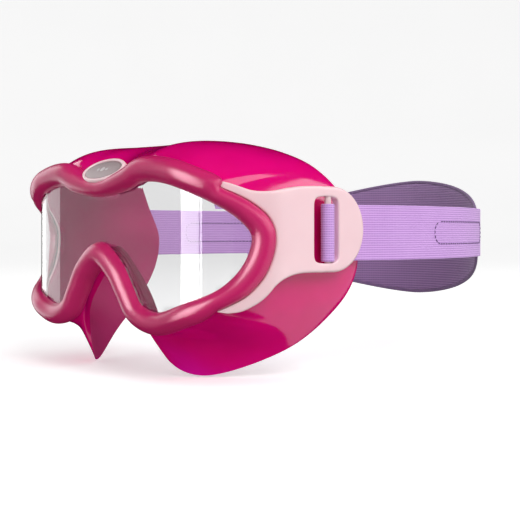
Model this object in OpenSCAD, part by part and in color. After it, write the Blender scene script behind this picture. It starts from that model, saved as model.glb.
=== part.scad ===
// Child's one-window swim mask: a wraparound lens in a soft rim, a face skirt,
// two hard side arms with strap pins, and an elastic head strap with a wide back panel.
// +X is the wearer's left, -Y is forward and +Z is up. The origin is the middle of the
// face seal: on the plane of symmetry, level with the strap, under the forehead lip.

/* [Lens] */
// Radius of the gently curved front
front_radius = 500; // [300:50:900]
// Half width of the gently curved front, along the lens
front_half = 46; // [42:1:50]
// Radius of the corner between the front and each side
corner_radius = 23.3; // [20:0.1:28]
// Angle by which each side of the lens turns back
side_turn = 54.4; // [50:0.1:60]
// Thickness of the lens
lens_thick = 2.2; // [1.8:0.1:2.6]
// Distance of the lens front ahead of the forehead lip
lens_ahead = 40; // [38:1:42]

/* [Rim] */
// Radius of the round rim bead
bead_radius = 4.6; // [4.2:0.1:5]
// Gap between the moulded pieces
fit_gap = 0.1; // [0.05:0.05:0.2]

/* [Brow boss] */
// Width of the oval boss
boss_width = 27.5; // [24:0.5:30]
// Height of the oval boss along its tilted face
boss_height = 13.7; // [12:0.1:15]
// Thickness of the boss
boss_depth = 3.2; // [2.8:0.1:3.4]
// Height of the middle of the boss's face above the strap's level
boss_rise = 25.1; // [24.5:0.1:25.6]
// Backward tilt of the boss's face
boss_tilt = 45; // [40:1:50]
// Depth of the recess that holds the badge
recess_depth = 0.9; // [0.6:0.1:1.2]

/* [Skirt] */
// Thickness of the skirt wall
skirt_thick = 1.7; // [1.4:0.1:2]

/* [Side arms] */
// Distance of each arm's outer face from the middle
arm_out = 76.1; // [75.5:0.1:77]
// Thickness of each arm
arm_thick = 3.6; // [3.4:0.1:4]
// Radius of the arm's round end
lug_radius = 16.7; // [16:0.1:18]
// Length of the strap slot
slot_length = 13.4; // [12.5:0.1:14]
// Radius of the strap pin
pin_radius = 1.3; // [1.2:0.05:1.4]
// Running clearance round the pin in its bores
pin_clearance = 0.05; // [0.02:0.01:0.08]

/* [Strap] */
// Width of the webbing
web_width = 22.4; // [21:0.1:22.8]
// Thickness of each layer of the strap
web_thick = 1.2; // [1:0.1:1.3]
// Half width of the strap loop round the head
loop_half_width = 77; // [76:1:80]
// Half depth of the strap loop round the head
loop_half_depth = 105; // [100:1:110]
// Height of the wide back panel
panel_height = 60; // [50:1:64]
// Half length of the wide part of the back panel
panel_reach = 64; // [56:1:64]
// Distance by which the back panel sits towards the wearer's right
panel_shift = 9; // [6:1:9]

/* [Hidden] */
$fn = 48;

// ---- the lens's plan curve: a gentle front, a corner arc and a straight side
front_turn = front_half / front_radius * 180 / PI;
corner_end = front_half + corner_radius * (side_turn - front_turn) * PI / 180;
function turn(s) =
    s < front_half ? s / front_radius * 180 / PI
    : s < corner_end ? front_turn + (s - front_half) / corner_radius * 180 / PI
    : side_turn;
function arc_step(r, a0, a1) = [r * (sin(a1) - sin(a0)), r * (cos(a0) - cos(a1))];
function plan(s) =
    s < front_half ? arc_step(front_radius, 0, turn(s))
    : arc_step(front_radius, 0, front_turn) + arc_step(corner_radius, front_turn, turn(s))
        + max(0, s - corner_end) * [cos(side_turn), sin(side_turn)];
// point at distance s along the lens, height z and n in front of the lens's face
function on_shell(s, z, n) =
    let (q = abs(s), p = plan(q), a = turn(q), w = s < 0 ? -1 : 1)
    [w * (p[0] + n * sin(a)), p[1] - n * cos(a) - lens_ahead, z];

// ---- closed smooth curves through the knots of one half
curve_steps = 4;
function mirrored(p) = len(p) == 2 ? [-p[0], p[1]] : [-p[0], p[1], p[2]];
function whole(half) = concat(half, [for (i = [len(half) - 2 : -1 : 1]) mirrored(half[i])]);
function between(p0, p1, p2, p3, t) =
    p1 + t / 2 * ((p2 - p0) + t * ((2 * p0 - 5 * p1 + 4 * p2 - p3)
        + t * (3 * p1 - p0 - 3 * p2 + p3)));
function smooth_loop(half) =
    let (k = whole(half), n = len(k))
    [for (i = [0 : n - 1]) for (j = [0 : curve_steps - 1])
        between(k[(i + n - 1) % n], k[i], k[(i + 1) % n], k[(i + 2) % n], j / curve_steps)];

// middle of the rim bead as distance along the lens and height, from brow to nose
rim_half = [[0, 18], [16.5, 20], [28.5, 23.7], [44.5, 22], [60, 16.4], [74, 8.2],
    [81, -1.4], [77.5, -14.5], [67, -25.2], [51, -31.8], [36.5, -35.6],
    [24.3, -32.3], [17.6, -24.2], [11, -15.7], [0, -9.4]];
// rear edge of the skirt where it seals on the face, in the same order
seal_half = [[0, 0, 37.4], [17, 2, 37.2], [32, 7.5, 36.3], [48, 16, 32], [60, 23.5, 25],
    [66.5, 32.5, 13], [67, 39, -2], [68, 38, -17], [66, 28, -31.5], [58.5, 8, -47],
    [39, -15.3, -57.2], [26.5, -26.5, -51], [24.5, -29, -33], [13.5, -29, -18.5],
    [0, -30.5, -7]];
// shoulder that the skirt bends round on its way to the face, in the same order
shoulder_half = [[0, -31, 33], [17, -32, 36], [31, -30, 38], [46, -22, 35], [62, -12, 26],
    [69, 2, 13], [69, 6, -2], [69.5, 4, -18], [67.5, -4, -33], [57.5, -7, -41],
    [38, -20, -41], [26.5, -31.5, -45], [21, -33.5, -30], [12, -34, -17.5], [0, -34.5, -8.5]];
rim_loop = smooth_loop(rim_half);
seal_loop = smooth_loop(seal_half);
shoulder_loop = smooth_loop(shoulder_half);
rings = len(rim_loop);
function unit(v) = v / norm(v);
function reversed(list) = [for (i = [len(list) - 1 : -1 : 0]) list[i]];
// direction that points away from the window at each place on the rim
rim_out = [for (i = [0 : rings - 1])
    let (d = rim_loop[(i + 1) % rings] - rim_loop[(i + rings - 1) % rings]) unit([-d[1], d[0]])];
// point at ring i, u away from the window and n in front of the lens's face
function on_rim(i, u, n) =
    let (p = rim_loop[i] + u * rim_out[i]) on_shell(p[0], p[1], n);

// ---- solids swept through rings of points
function sweep_faces(count, size, closed) = concat(
    [for (i = [0 : count - (closed ? 1 : 2)]) for (j = [0 : size - 1])
        for (half = [0, 1])
            let (a = i * size, b = ((i + 1) % count) * size, k = (j + 1) % size)
            half == 0 ? [a + j, b + j, b + k] : [a + j, b + k, a + k]],
    closed ? [] : [[for (j = [size - 1 : -1 : 0]) (count - 1) * size + j],
        [for (j = [0 : size - 1]) j]]);
module sweep(ring_points, closed = true) {
    size = len(ring_points[0]);
    polyhedron([for (ring = ring_points) for (p = ring) p],
        sweep_faces(len(ring_points), size, closed), convexity = 8);
}
module rim_sweep(section) {
    sweep([for (i = [0 : rings - 1]) [for (p = section) on_rim(i, p[0], p[1])]]);
}
module both_ways(flip) {
    mirror([flip ? 1 : 0, 0, 0]) children();
}

// ---- sections of the rim, as [away from the window, in front of the lens's face]
frame_out = 2.2;
frame_in = -2.4;
frame_rear = -3.4;
frame_front = 1;
ledge_in = -4;
frame_section = [[ledge_in, frame_rear], [frame_out, frame_rear], [frame_out, frame_front],
    [frame_in, frame_front], [frame_in, -lens_thick - fit_gap], [ledge_in, -lens_thick - fit_gap]];
bead_points = 12;
bead_end = -asin(-frame_rear / bead_radius);
bead_section = concat(
    [[frame_in - fit_gap, fit_gap], [frame_in - fit_gap, frame_front + fit_gap],
        [frame_out + fit_gap, frame_front + fit_gap], [frame_out + fit_gap, frame_rear]],
    [for (i = [0 : bead_points])
        let (a = bead_end + (178 - bead_end) * i / bead_points)
        bead_radius * [cos(a), sin(a)]]);

// ---- lens: a bent band, cut to the frame all round
band_steps = 40;
lens_reach = 84;
lens_edge = frame_in - fit_gap;
cut_in = [-lens_thick - 1, 1];
cut_out = 6;
module lens() {
    color([0.88, 0.9, 0.9, 0.4])
    difference() {
        intersection() {
            translate([0, 0, -40])
            linear_extrude(70)
            polygon(concat(
                [for (i = [-band_steps : band_steps])
                    let (p = on_shell(i * lens_reach / band_steps, 0, 0)) [p[0], p[1]]],
                [for (i = [band_steps : -1 : -band_steps])
                    let (p = on_shell(i * lens_reach / band_steps, 0, -lens_thick))
                    [p[0], p[1]]]));
            rotate([90, 0, 0])
            translate([0, 0, -60])
            linear_extrude(120)
            polygon([for (i = [0 : rings - 1]) let (p = on_rim(i, 1, 0)) [p[0], p[2]]]);
        }
        rim_sweep([[lens_edge, cut_in[0]], [cut_out, cut_in[0]], [cut_out, cut_in[1]],
            [lens_edge, cut_in[1]]]);
    }
}

// ---- hard frame with the brow boss, and what sits in the boss
boss_ahead = lens_ahead - 0.5;
recess_margin = 2.2;
// the neck that joins the boss to the frame below it
neck_width = 12;
neck_depth = 2.4;
neck_foot = 19.8;
function oval(w, h) = [for (i = [0 : 39]) [w / 2 * cos(i * 9), h / 2 * sin(i * 9)]];
module on_boss(height) {
    translate([0, -boss_ahead, boss_rise])
    rotate([boss_tilt, 0, 0])
    translate([0, 0, height])
    children();
}
module boss_solid(extra) {
    on_boss(-boss_depth - extra)
    linear_extrude(boss_depth + 2 * extra)
    polygon(oval(boss_width + 2 * extra, boss_height + 2 * extra));
    translate([-neck_width / 2 - extra, -boss_ahead - 1 - extra, neck_foot - extra])
    cube([neck_width + 2 * extra, neck_depth + 2 * extra, boss_rise - 1 - neck_foot + 2 * extra]);
}
module lens_frame() {
    color([0.95, 0.82, 0.83])
    difference() {
        union() {
            rim_sweep(frame_section);
            boss_solid(0);
        }
        on_boss(-recess_depth)
        linear_extrude(recess_depth + 1)
        polygon(oval(boss_width - 2 * recess_margin, boss_height - 2 * recess_margin));
    }
}
module brow_badge() {
    badge_gap = 2 * (recess_margin + fit_gap);
    color([0.72, 0.56, 0.6])
    on_boss(-recess_depth)
    linear_extrude(recess_depth - 0.3)
    polygon(oval(boss_width - badge_gap, boss_height - badge_gap));
}
// three plain raised dots, the middle one larger
module badge_emblem() {
    color([0.95, 0.93, 0.94])
    on_boss(-0.3)
    for (place = [-1, 0, 1])
        translate([3 * place, 0, 0])
        cylinder(h = 0.4, r = 1.2 - 0.4 * abs(place));
}

// ---- soft rim bead moulded over the frame
module rim_bead() {
    color([0.87, 0.13, 0.44])
    difference() {
        rim_sweep(bead_section);
        boss_solid(fit_gap);
    }
}

// ---- face skirt: a wall from the back of the rim, round a shoulder, to the face
wall_steps = 6;
skirt_out = 3.2;
skirt_in = -3.8;
skirt_front = frame_rear - fit_gap;
flange_rear = skirt_front - skirt_thick;
function bend_curve(a, b, c, t) = (1 - t) * (1 - t) * a + 2 * t * (1 - t) * b + t * t * c;
function skirt_ring(i) =
    let (start = on_rim(i, skirt_out, skirt_front),
        inward = -skirt_thick * [rim_out[i][0], 0, rim_out[i][1]],
        wall = [for (k = [0 : wall_steps])
            bend_curve(start, shoulder_loop[i], seal_loop[i], k / wall_steps)])
    concat([on_rim(i, skirt_in, skirt_front), on_rim(i, skirt_in, flange_rear),
            on_rim(i, skirt_out - skirt_thick - 0.4, flange_rear - 0.4)],
        [for (k = [2 : wall_steps]) wall[k] + inward],
        reversed(wall));
module face_skirt() {
    color([0.85, 0.05, 0.42])
    sweep([for (i = [0 : rings - 1]) skirt_ring(i)]);
}

// ---- side arms, drawn for the wearer's left
arm_face = 1;
arm_bend = 16;
lug_middle = [17.5, 0.6];
slot_middle = [12.9, 0.4];
slot_half_height = 13;
slot_end_radius = 30;
pin_place = [arm_out - arm_thick / 2, 15];
horn_gap = 0.1;
horn_width = 3.5;
horn_first = 17;
horn_last = 36;
// centre of the arm's bend, from the straight side of the lens to the arm's own straight
bend_start = on_shell(corner_end, 0, arm_face);
bend_x = arm_out - arm_bend;
bend_y = (bend_x - bend_start[0]) * tan(side_turn) + bend_start[1] + arm_bend / cos(side_turn);
function arm_line(depth) = concat(
    [for (s = [70, corner_end + 12]) let (p = on_shell(s, 0, arm_face - depth)) [p[0], p[1]]],
    [for (k = [0 : 8])
        let (a = side_turn - 90 + k * (90 - side_turn) / 8)
        [bend_x, bend_y] + (arm_bend - depth) * [cos(a), sin(a)]],
    [[arm_out - depth, 60]]);
// the plate seen from the side, as [back, up], before the rim is cut out of its front
plate_outline = [[-24, 14.6], [-20, 14.7], [-11.6, 15.8], [-3, 16.9], [6, 17.3],
    [lug_middle[0], lug_middle[1] + lug_radius], [lug_middle[0], lug_middle[1] - lug_radius],
    [6, -16], [-6, -16.1], [-11.6, -18], [-15, -20.4], [-19.2, -24.2], [-23.5, -26.7],
    [-16, -3]];
// the curved piece that hugs the rim, tapering to a point at each end
function horn_taper(i) = min(1, 0.08 + min(i - horn_first, horn_last - i) / 2.5);
horn_inner = bead_radius + horn_gap;
horn_depth = arm_face - arm_thick;
function horn_ring(i) =
    let (outer = horn_inner + horn_width * horn_taper(i))
    [on_rim(i, horn_inner, horn_depth), on_rim(i, outer, horn_depth),
        on_rim(i, outer, arm_face - 0.5), on_rim(i, outer - 0.25, arm_face),
        on_rim(i, horn_inner, arm_face)];
// room for the rim at the front of the plate
function rim_room(i) = [for (c = [[-9, -6], [horn_inner, -6], [horn_inner, 5], [-9, 5]])
    on_rim(i, c[0], c[1])];
module slot_round(side) {
    translate([arm_out - 10, slot_middle[0],
        slot_middle[1] + side * (slot_half_height - slot_end_radius)])
    rotate([0, 90, 0])
    cylinder(h = 20, r = slot_end_radius, $fn = 96);
}
module slot_solid() {
    intersection() {
        translate([arm_out - 10, slot_middle[0] - slot_length / 2, -20])
        cube([20, slot_length, 40]);
        slot_round(-1);
        slot_round(1);
    }
}
pin_reach = 15;
module arm_solid() {
    difference() {
        union() {
            difference() {
                intersection() {
                    translate([0, 0, -40])
                    linear_extrude(70)
                    polygon(concat(arm_line(0), reversed(arm_line(arm_thick))));
                    translate([40, 0, 0])
                    rotate([90, 0, 90])
                    linear_extrude(60)
                    union() {
                        polygon(plate_outline);
                        translate(lug_middle) circle(r = lug_radius);
                    }
                }
                sweep([for (i = [horn_first - 3 : horn_last + 3]) rim_room(i)], closed = false);
            }
            sweep([for (i = [horn_first : horn_last]) horn_ring(i)], closed = false);
        }
        slot_solid();
        translate([pin_place[0], pin_place[1], lug_middle[1] - pin_reach])
        cylinder(h = 2 * pin_reach, r = pin_radius + pin_clearance);
    }
}
module left_arm() {
    color([0.96, 0.82, 0.84]) arm_solid();
}
module right_arm() {
    color([0.96, 0.82, 0.84]) both_ways(true) arm_solid();
}

// ---- strap pins
module pin_solid() {
    pin_half = pin_reach - 0.2;
    translate([pin_place[0], pin_place[1], lug_middle[1] - pin_half])
    cylinder(h = 2 * pin_half, r = pin_radius);
}
module left_pin() {
    color([0.9, 0.82, 0.83]) pin_solid();
}
module right_pin() {
    color([0.9, 0.82, 0.83]) both_ways(true) pin_solid();
}

// ---- elastic strap: layers that follow the loop round the head
loop_middle = 65;
web_middle = -0.7;
layer_gap = 0.1;
layer_pitch = web_thick + layer_gap;
function on_loop(angle, inset) =
    let (normal = unit([cos(angle) / loop_half_width, sin(angle) / loop_half_depth]))
    [loop_half_width * cos(angle), loop_middle + loop_half_depth * sin(angle)] - inset * normal;
function span(a0, a1, inset, steps) =
    [for (k = [0 : steps]) on_loop(a0 + (a1 - a0) * k / steps, inset)];
// a flat layer in plan: the line of points given, with the layer's thickness
function side_of(line, i) =
    let (d = line[min(i + 1, len(line) - 1)] - line[max(i - 1, 0)]) unit([-d[1], d[0]]);
function layer(line, thick) = concat(
    [for (i = [0 : len(line) - 1]) line[i] + thick / 2 * side_of(line, i)],
    [for (i = [len(line) - 1 : -1 : 0]) line[i] - thick / 2 * side_of(line, i)]);
wrap_radius = pin_radius + 0.2 + web_thick / 2;
wrap_leave = 60;
outer_inset = web_thick / 2;
inner_inset = outer_inset + 2 * layer_pitch;
panel_inset = outer_inset + layer_pitch;
// angles on the loop where the layers join it, where they part round the panel's tail
// and where the webbing ends
free_start = -8;
parting = 8;
left_seam = 4;
right_seam = -8;
web_end = 53;
// the outer layer from the pin, inside the arm's rear bar and out to the loop
outer_line = concat(
    [pin_place + wrap_radius * [cos(wrap_leave), sin(wrap_leave)]],
    [[71.2, 19.4], [71.1, 24], [71.2, 33], [72.4, 39], [73.9, 45]],
    span(free_start, web_end, outer_inset, 24));
function inner_line(seam) = concat(
    [pin_place - [wrap_radius, 0]],
    [[70.5, 19], [69.8, 24], [69.9, 33], [70.9, 39], [72.1, 44]],
    seam - parting > free_start ? span(free_start, seam - parting, panel_inset, 4) : [],
    span(seam, web_end, inner_inset, 16));
module strap_solid(seam) {
    translate([0, 0, web_middle - web_width / 2])
    linear_extrude(web_width)
    union() {
        polygon(layer(outer_line, web_thick));
        polygon(layer(inner_line(seam), web_thick));
        polygon(concat(
            [for (k = [0 : 24]) let (a = wrap_leave - k * 10)
                pin_place + (wrap_radius + web_thick / 2) * [cos(a), sin(a)]],
            [for (k = [24 : -1 : 0]) let (a = wrap_leave - k * 10)
                pin_place + (wrap_radius - web_thick / 2) * [cos(a), sin(a)]]));
    }
}
module left_strap() {
    color([0.8, 0.64, 0.9]) strap_solid(left_seam);
}
module right_strap() {
    color([0.8, 0.64, 0.9]) both_ways(true) strap_solid(right_seam);
}

// ---- wide back panel: a leaf in the middle of a band that ends between the layers
tail_height = web_width - 2;
panel_middle = -3;
leaf_tip = 1.2;
binding_width = 1.5;
panel_plan = concat(
    span(left_seam, 90, panel_inset, 30),
    [for (p = reversed(span(right_seam, 87, panel_inset, 30))) mirrored(p)]);
function leaf_outline(margin) = [for (k = [0 : 47])
    let (c = cos(k * 7.5), w = sin(k * 7.5))
    [-panel_shift + (panel_reach + margin) * sign(c) * pow(abs(c), leaf_tip),
        panel_middle + (panel_height / 2 + margin) * w]];
module panel_band(low, high) {
    translate([0, 0, low])
    linear_extrude(high - low)
    polygon(layer(panel_plan, web_thick));
}
module leaf_cut(margin) {
    translate([0, 300, 0])
    rotate([90, 0, 0])
    linear_extrude(300 - loop_middle - 20)
    polygon(leaf_outline(margin));
}
module back_panel() {
    color([0.5, 0.36, 0.6])
    union() {
        intersection() {
            panel_band(-50, 50);
            leaf_cut(-binding_width);
        }
        panel_band(web_middle - tail_height / 2, web_middle + tail_height / 2);
    }
}
// thin edging round the leaf, clear of the tails
module panel_binding() {
    color([0.38, 0.26, 0.47])
    difference() {
        intersection() {
            panel_band(-50, 50);
            leaf_cut(0);
        }
        leaf_cut(-binding_width);
        translate([-100, 0, web_middle - tail_height / 2])
        cube([200, 300, tail_height]);
    }
}

// ---- long oval rows of stitching that join the layers
seam_run = 32;
seam_height = 9.5;
stitch_size = 0.5;
stitch_rise = 0.15;
stitch_inset = -stitch_rise - 0.06;
module stitch_rows(seam, flip) {
    both_ways(flip)
    for (side = [-1, 1])
        translate([0, 0, web_middle + side * seam_height / 2 - stitch_size / 2])
        linear_extrude(stitch_size)
        polygon(layer(span(seam + 3, seam + 3 + seam_run, stitch_inset, 12), 2 * stitch_rise));
}
module left_stitching() {
    color([0.5, 0.4, 0.65]) stitch_rows(left_seam, false);
}
module right_stitching() {
    color([0.5, 0.4, 0.65]) stitch_rows(right_seam, true);
}

lens();
lens_frame();
rim_bead();
face_skirt();
brow_badge();
badge_emblem();
left_arm();
right_arm();
left_pin();
right_pin();
left_strap();
right_strap();
back_panel();
panel_binding();
left_stitching();
right_stitching();
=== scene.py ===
import math

import bmesh
import bpy
import numpy as np
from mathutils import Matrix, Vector
from mathutils.geometry import delaunay_2d_cdt


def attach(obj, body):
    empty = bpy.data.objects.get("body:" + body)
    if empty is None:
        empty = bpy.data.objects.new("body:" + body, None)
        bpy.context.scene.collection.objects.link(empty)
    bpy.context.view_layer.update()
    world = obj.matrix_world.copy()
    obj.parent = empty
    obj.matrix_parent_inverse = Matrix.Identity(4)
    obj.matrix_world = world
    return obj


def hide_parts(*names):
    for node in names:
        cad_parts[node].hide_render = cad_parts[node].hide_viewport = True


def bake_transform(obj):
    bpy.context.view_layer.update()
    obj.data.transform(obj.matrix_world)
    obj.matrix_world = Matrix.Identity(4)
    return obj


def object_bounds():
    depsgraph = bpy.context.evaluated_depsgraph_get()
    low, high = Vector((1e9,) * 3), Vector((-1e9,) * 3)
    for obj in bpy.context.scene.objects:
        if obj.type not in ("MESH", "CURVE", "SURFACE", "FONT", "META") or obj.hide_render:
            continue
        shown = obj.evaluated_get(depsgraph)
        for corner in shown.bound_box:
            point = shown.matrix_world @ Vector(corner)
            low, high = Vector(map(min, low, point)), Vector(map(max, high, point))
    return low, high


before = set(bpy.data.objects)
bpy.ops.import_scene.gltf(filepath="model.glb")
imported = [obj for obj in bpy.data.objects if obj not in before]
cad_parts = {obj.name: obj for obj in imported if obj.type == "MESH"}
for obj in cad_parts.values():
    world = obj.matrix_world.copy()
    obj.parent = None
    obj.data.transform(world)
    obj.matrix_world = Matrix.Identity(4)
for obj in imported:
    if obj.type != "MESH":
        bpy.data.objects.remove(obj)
cad_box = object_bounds()
MM = 0.001

# ---------------------------------------------------------------- camera
cam_data = bpy.data.cameras.new("camera")
cam = bpy.data.objects.new("camera", cam_data)
bpy.context.scene.collection.objects.link(cam)
cam.location = (0.3745, -0.2907, 0.0)
cam.rotation_euler = (math.radians(90), 0, math.radians(48))
cam_data.lens = 76.15
cam_data.sensor_width = 36
cam_data.shift_y = -0.0558
cam_data.clip_start = 0.01
cam_data.dof.use_dof = False
bpy.context.scene.camera = cam
bpy.context.scene.view_settings.view_transform = "Standard"


# ---------------------------------------------------------------- materials
def srgb(r, g, b):
    """A colour given as 0-255 display values, in scene-linear."""
    return tuple(
        (c / 255 / 12.92 if c <= 10 else ((c / 255 + 0.055) / 1.055) ** 2.4)
        for c in (r, g, b)
    ) + (1.0,)


class Nodes:
    """Short calls for building a material's nodes."""

    def __init__(self, name):
        self.mat = bpy.data.materials.new(name)
        self.mat.use_nodes = True
        self.tree = self.mat.node_tree
        self.bsdf = self.tree.nodes["Principled BSDF"]
        self.coords = self.tree.nodes.new("ShaderNodeTexCoord")

    def link(self, a, b):
        self.tree.links.new(a, b)

    def noise(self, scale, detail):
        n = self.tree.nodes.new("ShaderNodeTexNoise")
        n.inputs["Scale"].default_value = scale
        n.inputs["Detail"].default_value = detail
        n.inputs["Roughness"].default_value = 0.55
        self.link(self.coords.outputs["Object"], n.inputs["Vector"])
        return n.outputs["Fac"]

    def ramp(self, value, low, high, a, b):
        """Maps a value in a..b to low..high, and keeps it there."""
        n = self.tree.nodes.new("ShaderNodeMapRange")
        n.inputs["From Min"].default_value = a
        n.inputs["From Max"].default_value = b
        n.inputs["To Min"].default_value = low
        n.inputs["To Max"].default_value = high
        self.link(value, n.inputs["Value"])
        return n.outputs["Result"]

    def mix(self, factor, a, b):
        n = self.tree.nodes.new("ShaderNodeMix")
        n.data_type = "RGBA"
        self.link(factor, n.inputs["Factor"])
        for value, socket in ((a, n.inputs["A"]), (b, n.inputs["B"])):
            if isinstance(value, tuple):
                socket.default_value = value
            else:
                self.link(value, socket)
        return n.outputs["Result"]

    def math(self, kind, a, b=0.0):
        """A Math node; a and b are numbers or other nodes' outputs."""
        n = self.tree.nodes.new("ShaderNodeMath")
        n.operation = kind
        for value, socket in ((a, n.inputs[0]), (b, n.inputs[1])):
            if isinstance(value, (int, float)):
                socket.default_value = value
            else:
                self.link(value, socket)
        return n.outputs["Value"]

    def uv(self, axis):
        """One of the piece's UV coordinates, in centimetres."""
        n = self.tree.nodes.new("ShaderNodeSeparateXYZ")
        self.link(self.coords.outputs["UV"], n.inputs["Vector"])
        return n.outputs[axis]

    def bump(self, height, distance, strength, before=None):
        n = self.tree.nodes.new("ShaderNodeBump")
        n.inputs["Distance"].default_value = distance
        n.inputs["Strength"].default_value = strength
        self.link(height, n.inputs["Height"])
        if before is not None:
            self.link(before, n.inputs["Normal"])
        return n.outputs["Normal"]

    def set(self, **values):
        """Sets or links the shader's sockets; an underscore stands for a space in a socket's name."""
        for key, value in values.items():
            socket = self.bsdf.inputs[key.replace("_", " ")]
            if isinstance(value, (int, float, tuple)):
                socket.default_value = value
            else:
                self.link(value, socket)
        return self


def moulded(name, colour, darker, rough, grain, bump, **more):
    """A moulded soft or hard plastic: fine surface grain, slow colour drift and uneven gloss.

    rough is the middle roughness, grain the surface noise's scale, and bump its height in metres.
    """
    n = Nodes(name)
    drift = n.ramp(n.noise(45, 2.0), 0.0, 1.0, 0.35, 0.65)
    fine = n.noise(grain, 4.0)
    slow = n.noise(260, 2.0)
    n.set(
        Base_Color=n.mix(drift, colour, darker),
        Roughness=n.ramp(fine, rough - 0.05, rough + 0.07, 0.3, 0.7),
        Normal=n.bump(slow, bump * 2.5, 0.35, n.bump(fine, bump, 0.5)),
    )
    return n.set(**more)


def knitted(name, top, groove, rib_pitch, yarn_pitch):
    """Ribbed elastic, with painted light on the rib crests and painted shade in the grooves: top is the
    crests' lighter colour and groove the grooves' darker colour. UV is along and across in centimetres, the
    pitches are in mm, and ribs run along.
    """
    n = Nodes(name)
    rough = 0.75
    turn_per_cm = 2 * math.pi * 10
    across, along = n.uv("Y"), n.uv("X")
    rib = n.math("COSINE", n.math("MULTIPLY", across, turn_per_cm / rib_pitch))
    rib_height = n.math("ADD", n.math("MULTIPLY", rib, 0.5), 0.5)
    loop = n.math("SINE", n.math("MULTIPLY", along, turn_per_cm / yarn_pitch))
    yarns = n.math("ADD", n.math("MULTIPLY", across, 3 * turn_per_cm / rib_pitch), loop)
    weave = n.math("ADD", n.math("MULTIPLY", loop, 0.35), n.math("MULTIPLY", n.math("SINE", yarns), 0.3))
    fuzz = n.noise(5200, 3.0)
    drift = n.ramp(n.noise(90, 2.0), 0.86, 1.0, 0.3, 0.7)
    # painted light and shade: the rib crests and the weave's raised loops get the lighter top colour and
    # the grooves the darker groove colour; drift is only a slow random change of tone
    lit = n.ramp(n.math("ADD", rib_height, n.math("MULTIPLY", weave, 0.35)), 0.0, 1.0, -0.05, 0.75)
    shade = n.math("MULTIPLY", lit, drift)
    height = n.math("ADD", n.math("MULTIPLY", weave, 0.6), n.math("MULTIPLY", fuzz, 0.5))
    n.set(
        Base_Color=n.mix(shade, groove, top),
        Roughness=n.ramp(fuzz, rough - 0.08, rough + 0.1, 0.3, 0.7),
        Normal=n.bump(height, 0.00009, 0.8),
        Sheen_Weight=0.25,
        Sheen_Roughness=0.45,
    )
    return n


# pitches in mm: the webbing's ribs, the panel's ribs, and a knitted loop along the webbing
RIB = 0.93
PANEL_RIB = 1.24
YARN = 0.8
mat_bead = moulded(
    "magenta_rim", srgb(206, 22, 104), srgb(196, 18, 98), 0.3, 3800, 0.00002,
    Subsurface_Weight=0.12, Subsurface_Radius=(0.004, 0.001, 0.0015), Subsurface_Scale=1.0,
)
mat_skirt = moulded(
    "magenta_skirt", srgb(226, 4, 120), srgb(217, 3, 114), 0.1, 2600, 0.000008,
    Subsurface_Weight=0.3, Subsurface_Radius=(0.006, 0.0008, 0.0022), Subsurface_Scale=1.0,
    Coat_Weight=0.15, Coat_Roughness=0.08,
)
# the skirt's inside is the same silicone, rougher, but its darker colour is painted shade for the inside of
# the mask
mat_skirt_inside_painted_shade = moulded(
    "magenta_skirt_inside_painted_shade", srgb(186, 22, 104), srgb(176, 20, 98), 0.5, 2600, 0.00002,
    Specular_IOR_Level=0.3,
)
mat_pink = moulded(
    "pale_pink_plastic", srgb(247, 212, 217), srgb(243, 206, 212), 0.36, 4200, 0.000015,
    Subsurface_Weight=0.08, Subsurface_Radius=(0.003, 0.0015, 0.0015), Subsurface_Scale=1.0,
)
mat_badge = moulded(
    "mauve_badge", srgb(152, 130, 133), srgb(144, 123, 126), 0.3, 3600, 0.000012,
)
mat_mark = moulded(
    "white_mark", srgb(196, 188, 190), srgb(188, 180, 182), 0.34, 3600, 0.00001,
)
mat_pin = moulded(
    "pin_plastic", srgb(238, 214, 214), srgb(230, 204, 205), 0.3, 4200, 0.000015,
)
# each elastic's first colour is its rib crests with painted light, the second its grooves with painted
# shade
mat_web = knitted("lilac_webbing", srgb(222, 174, 240), srgb(180, 130, 206), RIB, YARN)
mat_panel = knitted("violet_elastic", srgb(150, 112, 164), srgb(110, 78, 126), PANEL_RIB, 1.0)
mat_edge = knitted("violet_edging", srgb(126, 94, 140), srgb(98, 70, 112), 0.7, 0.7)
mat_thread = knitted("violet_thread", srgb(118, 84, 140), srgb(92, 62, 112), 0.5, 0.5)

glass = Nodes("clear_lens")
glass.set(
    Base_Color=(0.815, 0.815, 0.82, 1),
    Roughness=glass.ramp(glass.noise(900, 2.0), 0.0, 0.03, 0.35, 0.75),
    IOR=1.46,
    Transmission_Weight=1.0,
    Normal=glass.bump(glass.noise(60, 1.0), 0.00001, 0.2),
)

# ---------------------------------------------------------------- the lens's shape (mm)
# in plan the lens is a nearly flat front, a tight corner and a straight side that is turned back
front_radius = 500
front_half = 46
corner_radius = 23.3
side_turn = math.radians(54.4)
lens_thick = 2.2
lens_ahead = 40
front_turn = front_half / front_radius
corner_end = front_half + corner_radius * (side_turn - front_turn)


def turn(s):
    """How far the lens has turned back at distance s from its middle."""
    if s < front_half:
        return s / front_radius
    if s < corner_end:
        return front_turn + (s - front_half) / corner_radius
    return side_turn


def arc_step(r, a0, a1):
    """The step in plan along an arc of radius r, from heading a0 to heading a1."""
    return np.array([r * (math.sin(a1) - math.sin(a0)), r * (math.cos(a0) - math.cos(a1))])


def plan(s):
    """The point in plan at distance s from the lens's middle."""
    if s < front_half:
        return arc_step(front_radius, 0, turn(s))
    side = max(0, s - corner_end) * np.array([math.cos(side_turn), math.sin(side_turn)])
    return arc_step(front_radius, 0, front_turn) + arc_step(corner_radius, front_turn, turn(s)) + side


def on_shell(s, z, n):
    """The point at distance s along the lens, height z and n in front of its face."""
    q = abs(s)
    p, a, w = plan(q), turn(q), -1 if s < 0 else 1
    return np.array([w * (p[0] + n * math.sin(a)), p[1] - n * math.cos(a) - lens_ahead, z])


def whole(half):
    """A closed list of knots from the knots of one half; the first number changes sign."""
    half = [np.array(p, float) for p in half]
    flip = np.array([-1.0] + [1.0] * (len(half[0]) - 1))
    return half + [p * flip for p in half[-2:0:-1]]


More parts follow.
